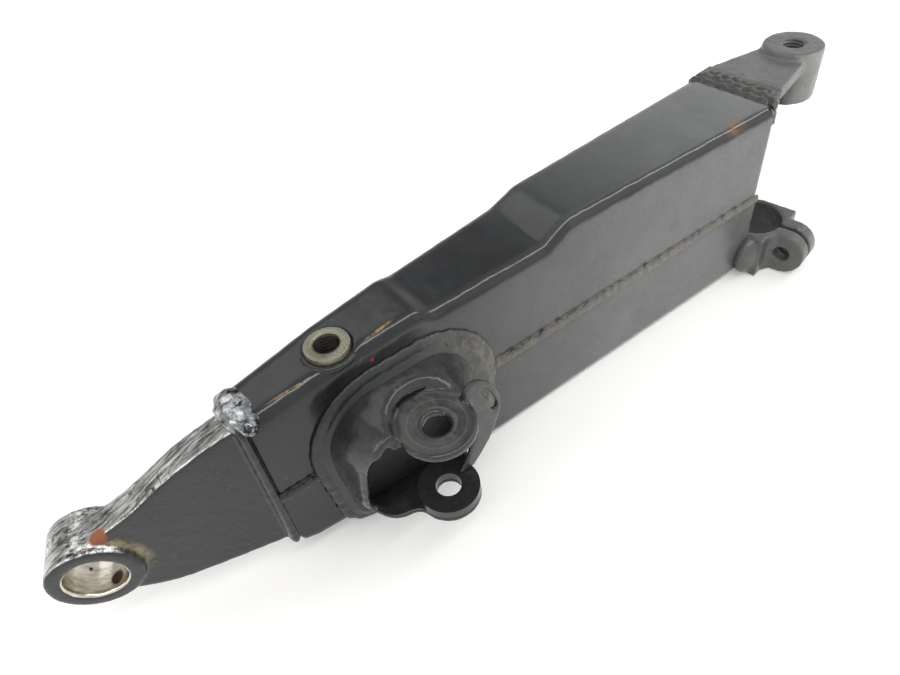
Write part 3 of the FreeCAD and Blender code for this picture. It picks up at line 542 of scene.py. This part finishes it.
# middle, half lengths, turn, colour, strength: two scratches, a red spot, rust on the far edge and by the cup
shellMarks = (
    ((0.0856, -0.0320, 0.0549), (0.0130, 0.0006, 0.0012), (0.0, -0.075, -0.101), "#9A7F4E", 0.9),
    ((0.1235, -0.0333, 0.0583), (0.0085, 0.0008, 0.0014), (0.0, -0.083, 0.038), "#A0844F", 0.95),
    ((0.1162, -0.0373, 0.0509), (0.0011, 0.0011, 0.0011), (0.0, 0.0, 0.0), "#C0302A", 1.0),
    ((0.3200, -0.0445, 0.0590), (0.0085, 0.0060, 0.0050), (0.0, 0.0, 0.0), "#7E5A42", 0.8),
    ((0.3440, -0.0495, 0.0100), (0.0035, 0.0030, 0.0050), (0.0, 0.0, 0.0), "#8C5236", 0.9),
)
# the box's paint, with painted light inside the cup, a rubbed front edge and marks
shellPaint = paintMaterial("satinBlackPaintOnSheet", {
    "paintedLightInCup": (0.126, 0.005, 0.033), "edge": 0.85, "marks": shellMarks})
cupPaint = paintMaterial("satinBlackPaintHandled", {
    "filmAll": 0.07, "dusty": 0.06, "rough": (0.12, 0.28), "soft": 0.5, "rings": (0.1212, -0.0665, 0.0340, 0.0145)})
# the far castings: an even grey film, with the painted reflection in full on their front faces
castPaint = paintMaterial("paintOverCastSteel", {
    "filmAll": 0.36, "paintedReflectionTop": (0.9, 1.0), "paintedReflectionFront": (0.33, 0.40), "cast": 0.6, "rough": (0.18, 0.42),
    "deep": "#1B1D1E", "filmAndPaintedLight": "#9C9E9A"})
weldPaint = paintMaterial("paintOverWeld", {
    "rough": (0.2, 0.45), "castMm": 1.4, "cast": 0.4, "dusty": 0.7, "dustFrom": (0.130, 0.165)})
# front faces made lighter towards the far end: painted reflection
darkWeld = paintMaterial("thickPaintOverWeld", {
    "rough": (0.14, 0.34), "castMm": 1.6, "cast": 0.6, "paintedReflectionTop": (0.9, 1.0), "paintedReflectionFront": (0.3, 0.5),
    "filmAll": 0.12, "dusty": 0.22})
silverWeld = steelMaterial("scrapedWeldMetal", {
    "bright": "#D4D6D8", "dull": "#1B1D20", "grainMm": 4.0, "broadMm": 6.0, "rough": (0.12, 0.36)})
dullSteel = ringMaterial()
eyeSteel = eyeMaterial()
for nodeName in nodes:
    dress(nodeName, weldPaint if "weld" in nodeName else shellPaint)
dress("upper_lug_weld", darkWeld)
dress("lower_lug_disc", cupPaint)
print("stage: materials made")

# Surfaces from grids

def gridFaces(rings, sides, closedAlong):
    # Quads of a grid of rings, wrapped round each ring, and along the rings too when closedAlong
    index = np.arange(rings * sides).reshape(rings, sides)
    ahead = np.roll(index, -1, 0) if closedAlong else index[1:]
    here = index if closedAlong else index[:-1]
    quads = np.stack([here, ahead, np.roll(ahead, -1, 1), np.roll(here, -1, 1)], axis=-1).reshape(-1, 4)
    faces = quads.tolist()
    if not closedAlong:
        faces.append(index[0].tolist())
        faces.append(index[-1][::-1].tolist())
    return faces


def addPiece(name, points, faces, material, replaced=None):
    mesh = bpy.data.meshes.new(name)
    mesh.from_pydata(points.reshape(-1, 3).tolist(), [], faces)
    mesh.calc_loop_triangles()
    corners = np.empty(len(mesh.loop_triangles) * 3, dtype=np.int32)
    mesh.loop_triangles.foreach_get("vertices", corners)
    a, b, c = points.reshape(-1, 3)[corners.reshape(-1, 3).T]
    if np.sum(a * np.cross(b, c)) < 0.0:    # six times the volume: under zero, the faces look inward
        mesh.flip_normals()
    mesh.shade_smooth()
    mesh.materials.append(material)
    piece = bpy.data.objects.new(name, mesh)
    bpy.context.scene.collection.objects.link(piece)
    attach(piece, "root")
    if replaced:
        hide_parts(replaced)
    return piece


def lumpGrid(centre, radii, rings=28, sides=40):
    # A closed egg: centre + radii * (cos t, sin t cos a, sin t sin a), its poles closed by small rings
    t = np.linspace(0.02, math.pi - 0.02, rings)[:, None]
    a = np.linspace(0.0, 2.0 * math.pi, sides, endpoint=False)[None, :]
    ball = np.stack([np.cos(t) + 0 * a, np.sin(t) * np.cos(a), np.sin(t) * np.sin(a)], axis=-1)
    return np.asarray(centre) + ball * np.asarray(radii)


def arcGrid(centre, major, tube, ends, rings=70, sides=24):
    # A tube bent round an upright axis: at the angle b its middle is centre + major * (cos b, sin b, 0), and
    # its radius is tube * (1 - c ** 4) ** 0.5, with c from -1 to 1 along it
    b = np.radians(np.linspace(ends[0], ends[1], rings))[:, None]
    c = np.linspace(-0.999, 0.999, rings)[:, None]
    a = np.linspace(0.0, 2.0 * math.pi, sides, endpoint=False)[None, :]
    radius = tube * np.sqrt(1.0 - c ** 4)
    reach = major + radius * np.cos(a)
    return np.asarray(centre) + np.stack([reach * np.cos(b), reach * np.sin(b), radius * np.sin(a)], axis=-1)


def valueNoise(points, spacing, seed):
    # Smooth noise from -1 to 1: random numbers on a lattice, mixed by 3 f^2 - 2 f^3 along each axis
    table = np.random.default_rng(seed).uniform(-1.0, 1.0, (32, 32, 32))
    scaled = points / spacing
    base = np.floor(scaled).astype(int)
    f = scaled - base
    f = f * f * (3.0 - 2.0 * f)
    total = np.zeros(len(points))
    for dx in (0, 1):
        for dy in (0, 1):
            for dz in (0, 1):
                weight = (np.abs(1 - dx - f[:, 0]) * np.abs(1 - dy - f[:, 1]) * np.abs(1 - dz - f[:, 2]))
                total += weight * table[(base[:, 0] + dx) % 32, (base[:, 1] + dy) % 32, (base[:, 2] + dz) % 32]
    return total


# Pieces with rounded edges, in place of the CAD's sharp ones

softSettings = {
    "eye_forging": {"voxel": 0.00052, "rounds": 26, "noise": 0.00004, "seed": 61},
    "upper_shell": {"voxel": 0.00110, "rounds": 6, "noise": 0.00006, "seed": 65},
    "clevis_cup": {"voxel": 0.0007, "rounds": 8, "noise": 0.00008, "seed": 62},
    # opened: a bore's centre and the radius it is pushed out to, so that a thread fits in it
    "upper_lug": {"voxel": 0.0007, "rounds": 10, "noise": 0.00012, "seed": 63,
                  "opened": (0.4062, -0.0191, 0.0062)},
    "lower_clamp": {"voxel": 0.0006, "rounds": 8, "noise": 0.00012, "seed": 64},
}
# the raised collar behind the cup's flange: centre, radius, tube radius, angles from +X
cupCollar = {"centre": (0.1212, -0.0665, 0.0332), "major": 0.0168, "tube": 0.0031, "ends": (30.0, 172.0)}
# lumps of fill and weld joined to a piece before it is rounded: centre, radii
softLumps = {
    "eye_forging": (),
    "upper_shell": (),
    "clevis_cup": (),
    "upper_lug": (),
    "lower_clamp": (((0.3480, -0.0515, -0.0278), (0.0105, 0.0062, 0.0116)),),
}


def softened(name, material):
    # The node's triangles and its lumps, merged and voxel remeshed; then each point moves half way to the
    # mean of its neighbours, rounds times, and by seeded noise along its normal
    look = softSettings[name]
    source = nodes[name].data
    source.calc_loop_triangles()
    points = np.empty(len(source.vertices) * 3)
    source.vertices.foreach_get("co", points)
    triangles = np.empty(len(source.loop_triangles) * 3, dtype=np.int32)
    source.loop_triangles.foreach_get("vertices", triangles)
    allPoints = [points.reshape(-1, 3)]
    faces = triangles.reshape(-1, 3).tolist()
    lumps = [lumpGrid(centre, radii) for centre, radii in softLumps[name]]
    if name == "clevis_cup":
        lumps.append(arcGrid(cupCollar["centre"], cupCollar["major"], cupCollar["tube"], cupCollar["ends"]))
    for grid in lumps:
        start = sum(len(part) for part in allPoints)
        faces += [[start + i for i in face] for face in gridFaces(grid.shape[0], grid.shape[1], False)]
        allPoints.append(grid.reshape(-1, 3))
    rough = bpy.data.meshes.new(name + "Rough")
    rough.from_pydata(np.vstack(allPoints).tolist(), [], faces)
    work = bmesh.new()
    work.from_mesh(rough)
    bmesh.ops.remove_doubles(work, verts=work.verts, dist=1e-6)
    bmesh.ops.recalc_face_normals(work, faces=work.faces)
    work.to_mesh(rough)
    work.free()
    holder = bpy.data.objects.new(name + "Rough", rough)
    bpy.context.scene.collection.objects.link(holder)
    remesh = holder.modifiers.new("rounding", "REMESH")
    remesh.mode = "VOXEL"
    remesh.voxel_size = look["voxel"]
    graph = bpy.context.evaluated_depsgraph_get()
    even = bpy.data.meshes.new_from_object(holder.evaluated_get(graph))
    bpy.data.objects.remove(holder)
    bpy.data.meshes.remove(rough)
    count = len(even.vertices)
    points = np.empty(count * 3)
    even.vertices.foreach_get("co", points)
    points = points.reshape(-1, 3)
    edges = np.empty(len(even.edges) * 2, dtype=np.int32)
    even.edges.foreach_get("vertices", edges)
    first, last = edges.reshape(-1, 2).T
    met = np.bincount(np.concatenate([first, last]), minlength=count)[:, None]
    for turn in range(look["rounds"]):
        total = np.stack([np.bincount(first, points[last, k], count) + np.bincount(last, points[first, k], count)
                          for k in range(3)], axis=1)
        points = 0.5 * points + 0.5 * total / met
    even.vertices.foreach_set("co", points.ravel())
    even.update()
    normals = np.empty(count * 3)
    even.vertices.foreach_get("normal", normals)
    uneven = valueNoise(points, 0.0035, look["seed"]) + 0.5 * valueNoise(points, 0.0012, look["seed"] + 100)
    points = points + normals.reshape(-1, 3) * (look["noise"] * uneven)[:, None]
    if "opened" in look:
        x, y, least = look["opened"]
        off = points[:, :2] - np.array((x, y))
        radius = np.linalg.norm(off, axis=1)[:, None]
        points[:, :2] = np.array((x, y)) + off * np.maximum(radius, least) / radius
    even.vertices.foreach_set("co", points.ravel())
    even.update()
    even.shade_smooth()
    even.name = name + "Form"
    even.materials.clear()
    even.materials.append(material)
    piece = bpy.data.objects.new(name + "Form", even)
    bpy.context.scene.collection.objects.link(piece)
    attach(piece, "root")
    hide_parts(name)
    print("stage:", name, "rounded,", count, "points")


softened("eye_forging", eyeSteel)
softened("clevis_cup", cupPaint)
softened("upper_lug", castPaint)
softened("lower_clamp", castPaint)
softened("upper_shell", shellPaint)

# The welded-in ring with its thread

insertSettings = {
    "centre": (0.1055, -0.0260), "outer": 0.00875, "minor": 0.00430, "depth": 0.00080, "low": 0.0432,
    "high": 0.0592, "pitch": 0.0015, "edge": 0.00035, "sides": 96, "perTurn": 12,
}
bossSettings = {
    "centre": (0.4062, -0.0191), "outer": 0.00650, "minor": 0.00505, "depth": 0.00092, "low": 0.0352,
    "high": 0.0622, "pitch": 0.00175, "edge": 0.00020, "sides": 96, "perTurn": 12,
}


def threadedRing(name, look, material, replaced=None):
    # A ring's section carried round its axis; the bore's radius is
    # minor + depth * (0.5 + 0.5 cos(2 pi (z / pitch - a / 2 pi))), opening out at both ends
    a = np.linspace(0.0, 2.0 * math.pi, look["sides"], endpoint=False)[None, :]
    length = look["high"] - look["low"]
    z = np.linspace(look["low"], look["high"], int(length / look["pitch"] * look["perTurn"]))[:, None]
    wave = 0.5 + 0.5 * np.cos(2.0 * math.pi * z / look["pitch"] - a)
    ends = np.clip(np.minimum(z - look["low"], look["high"] - z) / look["edge"], 0.0, 1.0)
    bore = look["minor"] + look["depth"] * (wave * ends + (1.0 - ends) * 0.9)
    corner = np.linspace(0.0, 0.5 * math.pi, 6)[:, None]
    e = look["edge"]
    rOut = np.vstack([look["outer"] - e + e * np.sin(corner), look["outer"] - e + e * np.cos(corner)])
    zOut = np.vstack([look["high"] - e + e * np.cos(corner), look["low"] + e - e * np.sin(corner)])
    radius = np.vstack([bore, rOut + 0.0 * a])
    height = np.vstack([z + 0.0 * a, zOut + 0.0 * a])
    grid = np.stack([look["centre"][0] + radius * np.cos(a), look["centre"][1] + radius * np.sin(a), height], -1)
    addPiece(name, grid, gridFaces(grid.shape[0], grid.shape[1], True), material, replaced)


threadedRing("threadedRing", insertSettings, dullSteel, "top_threaded_insert")
threadedRing("bossThread", bossSettings, castPaint)
print("stage: threads made")

# Welds: rippled beads laid over the smooth ones

boxSettings = {"start": 0.065, "end": 0.3465, "nearFront": 0.0347, "farFront": 0.0493}


def frontFace(x):
    # Y of the box's front face: a straight line from the near end to the far end
    share = (x - boxSettings["start"]) / (boxSettings["end"] - boxSettings["start"])
    return -(boxSettings["nearFront"] + (boxSettings["farFront"] - boxSettings["nearFront"]) * share)


def evenPath(points, step, closed):
    # The path's points at equal steps of its own length
    points = np.asarray(points, float)
    if closed:
        points = np.vstack([points, points[:1]])
    run = np.concatenate([[0.0], np.cumsum(np.linalg.norm(np.diff(points, axis=0), axis=1))])
    count = max(8, int(run[-1] / step))
    at = np.linspace(0.0, run[-1], count + 1)
    if closed:
        at = at[:-1]
    even = np.column_stack([np.interp(at, run, points[:, k]) for k in range(3)])
    return even, at, run[-1]


beadSettings = {"step": 0.00045, "sides": 20, "bow": 0.35, "waves": 5, "waveLow": 0.004, "waveSpan": 0.006}


def layBead(name, points, lift, look):
    # A weld bead. Along the path s and round the section a, the radius is
    # radius * (1 + ripple cos(2 pi (s / pitch - bow |sin a|)) + uneven * slow waves of s);
    # flat squeezes the section along lift, and an open bead's ends are rounded
    rng = np.random.default_rng(look["seed"])
    closed = look.get("closed", False)
    path, at, length = evenPath(points, beadSettings["step"], closed)
    if closed:
        ahead = np.roll(path, -1, 0) - np.roll(path, 1, 0)
    else:
        ahead = np.gradient(path, axis=0)
    ahead /= np.linalg.norm(ahead, axis=1)[:, None]
    lift = np.broadcast_to(np.asarray(lift, float), path.shape)
    up = lift - ahead * np.sum(lift * ahead, axis=1)[:, None]
    up /= np.linalg.norm(up, axis=1)[:, None]
    side = np.cross(ahead, up)
    a = np.linspace(0.0, 2.0 * math.pi, beadSettings["sides"], endpoint=False)[None, :]
    s = at[:, None]
    slow = np.zeros_like(s)
    for wave in range(beadSettings["waves"]):
        turns = np.round(length / (beadSettings["waveLow"] + beadSettings["waveSpan"] * rng.random()))
        slow = slow + rng.uniform(-1, 1) * np.sin(2 * math.pi * turns * s / length + rng.uniform(0, 6.28))
    turns = np.round(length / look["pitch"])
    ripple = np.cos(2 * math.pi * (turns * s / length - beadSettings["bow"] * np.abs(np.sin(a))) + 0.8 * slow)
    size = look["radius"] * (1.0 + look["ripple"] * ripple + look["uneven"] * slow / 3.0)
    if not closed:
        ends = np.clip(np.minimum(s, length - s) / (1.2 * look["radius"]), 0.0, 1.0)
        size = size * np.sqrt(1.0 - (1.0 - ends) ** 2 * 0.999)
    wander = look["wander"] * look["radius"] * np.roll(slow, 7, 0) / 3.0
    grid = (path[:, None, :] + side[:, None, :] * (size * np.sin(a) + wander)[:, :, None]
            + up[:, None, :] * (look["flat"] * size * np.cos(a))[:, :, None])
    faces = gridFaces(grid.shape[0], grid.shape[1], closed)
    addPiece(name, grid, faces, look["material"])


def roundedPath(corners):
    # Points of a closed outline whose corners (across, up, radius) are rounded by arcs
    count = len(corners)
    out = []
    for i in range(count):
        here = np.array(corners[i][:2])
        back = np.array(corners[i - 1][:2]) - here
        ahead = np.array(corners[(i + 1) % count][:2]) - here
        back /= np.linalg.norm(back)
        ahead /= np.linalg.norm(ahead)
        half = 0.5 * math.acos(float(back @ ahead))
        radius = corners[i][2]
        centre = here + (back + ahead) / np.linalg.norm(back + ahead) * radius / math.sin(half)
        first = here + back * radius / math.tan(half) - centre
        last = here + ahead * radius / math.tan(half) - centre
        t = np.linspace(0.0, 1.0, 24)[:, None]
        sweep = math.pi - 2.0 * half
        out.append(centre + (np.sin((1 - t) * sweep) * first + np.sin(t * sweep) * last) / math.sin(sweep))
    return np.vstack(out)


cupFoot = {
    "corners": [(0.084, 0.042, 0.028), (0.168, 0.042, 0.032), (0.160, -0.030, 0.024), (0.092, -0.030, 0.012)],
    "outwards": 0.0012, "standOff": 0.0004, "radius": 0.0052, "pitch": 0.0034, "flat": 0.46, "ripple": 0.008,
    "uneven": 0.05, "wander": 0.05, "seed": 3, "closed": True, "material": weldPaint,
}
outline = roundedPath(cupFoot["corners"])
outwards = outline - outline.mean(0)
outline = outline + outwards / np.linalg.norm(outwards, axis=1)[:, None] * cupFoot["outwards"]
cupPath = np.column_stack([outline[:, 0], frontFace(outline[:, 0]) - cupFoot["standOff"], outline[:, 1]])
layBead("cupBead", cupPath, (0.0, -1.0, 0.0), cupFoot)
cupTop = dict(cupFoot)
cupTop.update({"radius": 0.0030, "pitch": 0.0030, "flat": 0.6, "ripple": 0.03, "uneven": 0.4, "wander": 0.3, "seed": 4,
               "closed": False})
upperRight = cupPath[(cupPath[:, 2] > -0.002) & (cupPath[:, 0] > 0.142)]
upperRight = upperRight[np.argsort(np.arctan2(upperRight[:, 2], upperRight[:, 0] - 0.126))]
layBead("cupBeadTop", upperRight + np.array([0.0, -0.0014, 0.0]), (0.0, -1.0, 0.0), cupTop)

nearJoint = {
    "x": 0.0640, "front": -0.0328, "back": -0.0166, "low": -0.0205, "high": 0.0512, "corner": 0.0025,
    "radius": 0.0034, "pitch": 0.0030, "flat": 0.62, "ripple": 0.008, "uneven": 0.08, "seed": 5, "closed": True,
    "wander": 0.10, "material": paint,
}
nearRing = roundedPath([(nearJoint[side], nearJoint[level], nearJoint["corner"]) for side, level in (
    ("front", "high"), ("back", "high"), ("back", "low"), ("front", "low"))])
layBead("nearJointBead", np.column_stack([np.full(len(nearRing), nearJoint["x"]), nearRing]), (-1.0, 0.0, 0.0),
        nearJoint)

cornerBlob = {"centre": (0.0672, -0.0242, 0.0520), "radii": (0.0066, 0.0122, 0.0046), "noise": 0.0011}
blob = lumpGrid(cornerBlob["centre"], cornerBlob["radii"], 60, 90)
shape = blob.shape
blob = blob.reshape(-1, 3)
outwards = blob - np.asarray(cornerBlob["centre"])
outwards /= np.linalg.norm(outwards, axis=1)[:, None]
blob = blob + outwards * (cornerBlob["noise"] * (
    valueNoise(blob, 0.0042, 71) + 0.5 * valueNoise(blob, 0.0018, 72)))[:, None]
addPiece("cornerBlob", blob, gridFaces(shape[0], shape[1], False), silverWeld)

seam = {"z": 0.009, "standOff": 0.0007, "radius": 0.0022, "pitch": 0.0024, "flat": 0.5, "ripple": 0.03,
        "uneven": 0.3, "wander": 0.2, "material": weldPaint}
for name, start, end, seed in (("nearSeamBead", 0.066, 0.0835, 11), ("farSeamBead", 0.1685, 0.3463, 12)):
    x = np.linspace(start, end, 40)
    seam["seed"] = seed
    layBead(name, np.column_stack([x, frontFace(x) - seam["standOff"], np.full(40, seam["z"])]),
            (0.0, -1.0, 0.0), seam)

# x, height, radius of each pass, laid from the back to the front corner and turned down over it
lugJoint = {
    "rows": ((0.3478, 0.0608, 0.0030), (0.3522, 0.0611, 0.0031), (0.3572, 0.0606, 0.0032)),
    "front": -0.0455, "back": 0.0005, "turnDown": 0.004, "slant": 0.0018, "pitch": 0.0030, "flat": 0.6,
    "ripple": 0.05, "uneven": 0.5, "wander": 0.5, "material": darkWeld,
}
for row, (x, z, radius) in enumerate(lugJoint["rows"]):
    lugJoint["radius"] = radius
    lugJoint["seed"] = 21 + row
    end = lugJoint["front"] + lugJoint["slant"] * row
    y = np.linspace(lugJoint["back"] - 0.001 * row, end, 40)
    dip = np.clip((end + lugJoint["turnDown"] - y) / lugJoint["turnDown"], 0.0, 1.0) ** 2
    height = z - radius * 0.4 - lugJoint["turnDown"] * dip
    layBead("upperLugBead%d" % row, np.column_stack([np.full(40, x), y, height]), (0.0, 0.0, 1.0), lugJoint)

smallBead = {"radius": 0.0024, "pitch": 0.0023, "flat": 0.8, "ripple": 0.04, "uneven": 0.25,
             "wander": 0.25, "material": weldPaint}
for name, start, end, lift, seed in (
        ("upperLugCornerBead", (0.3470, -0.0462, 0.0585), (0.3470, -0.0475, 0.0500), (1.0, -1.0, 0.0), 31),
        ("clampFrontBead", (0.3475, -0.0495, -0.0165), (0.3475, -0.0495, -0.0385), (0.5, -1.0, 0.0), 43)):
    t = np.linspace(0.0, 1.0, 30)[:, None]
    smallBead["seed"] = seed
    layBead(name, np.asarray(start) * (1 - t) + np.asarray(end) * t, lift, smallBead)

ringBead = {"radius": 0.0018, "pitch": 0.0020, "flat": 0.9, "ripple": 0.02, "uneven": 0.1, "wander": 0.05,
            "seed": 51, "closed": True, "material": paint}
a = np.linspace(0.0, 2.0 * math.pi, 120, endpoint=False)
layBead("ringBead", np.column_stack([insertSettings["centre"][0] + 0.0095 * np.cos(a),
                                     insertSettings["centre"][1] + 0.0095 * np.sin(a),
                                     np.full(120, 0.0554)]), (0.0, 0.0, 1.0), ringBead)
print("stage: weld beads laid")
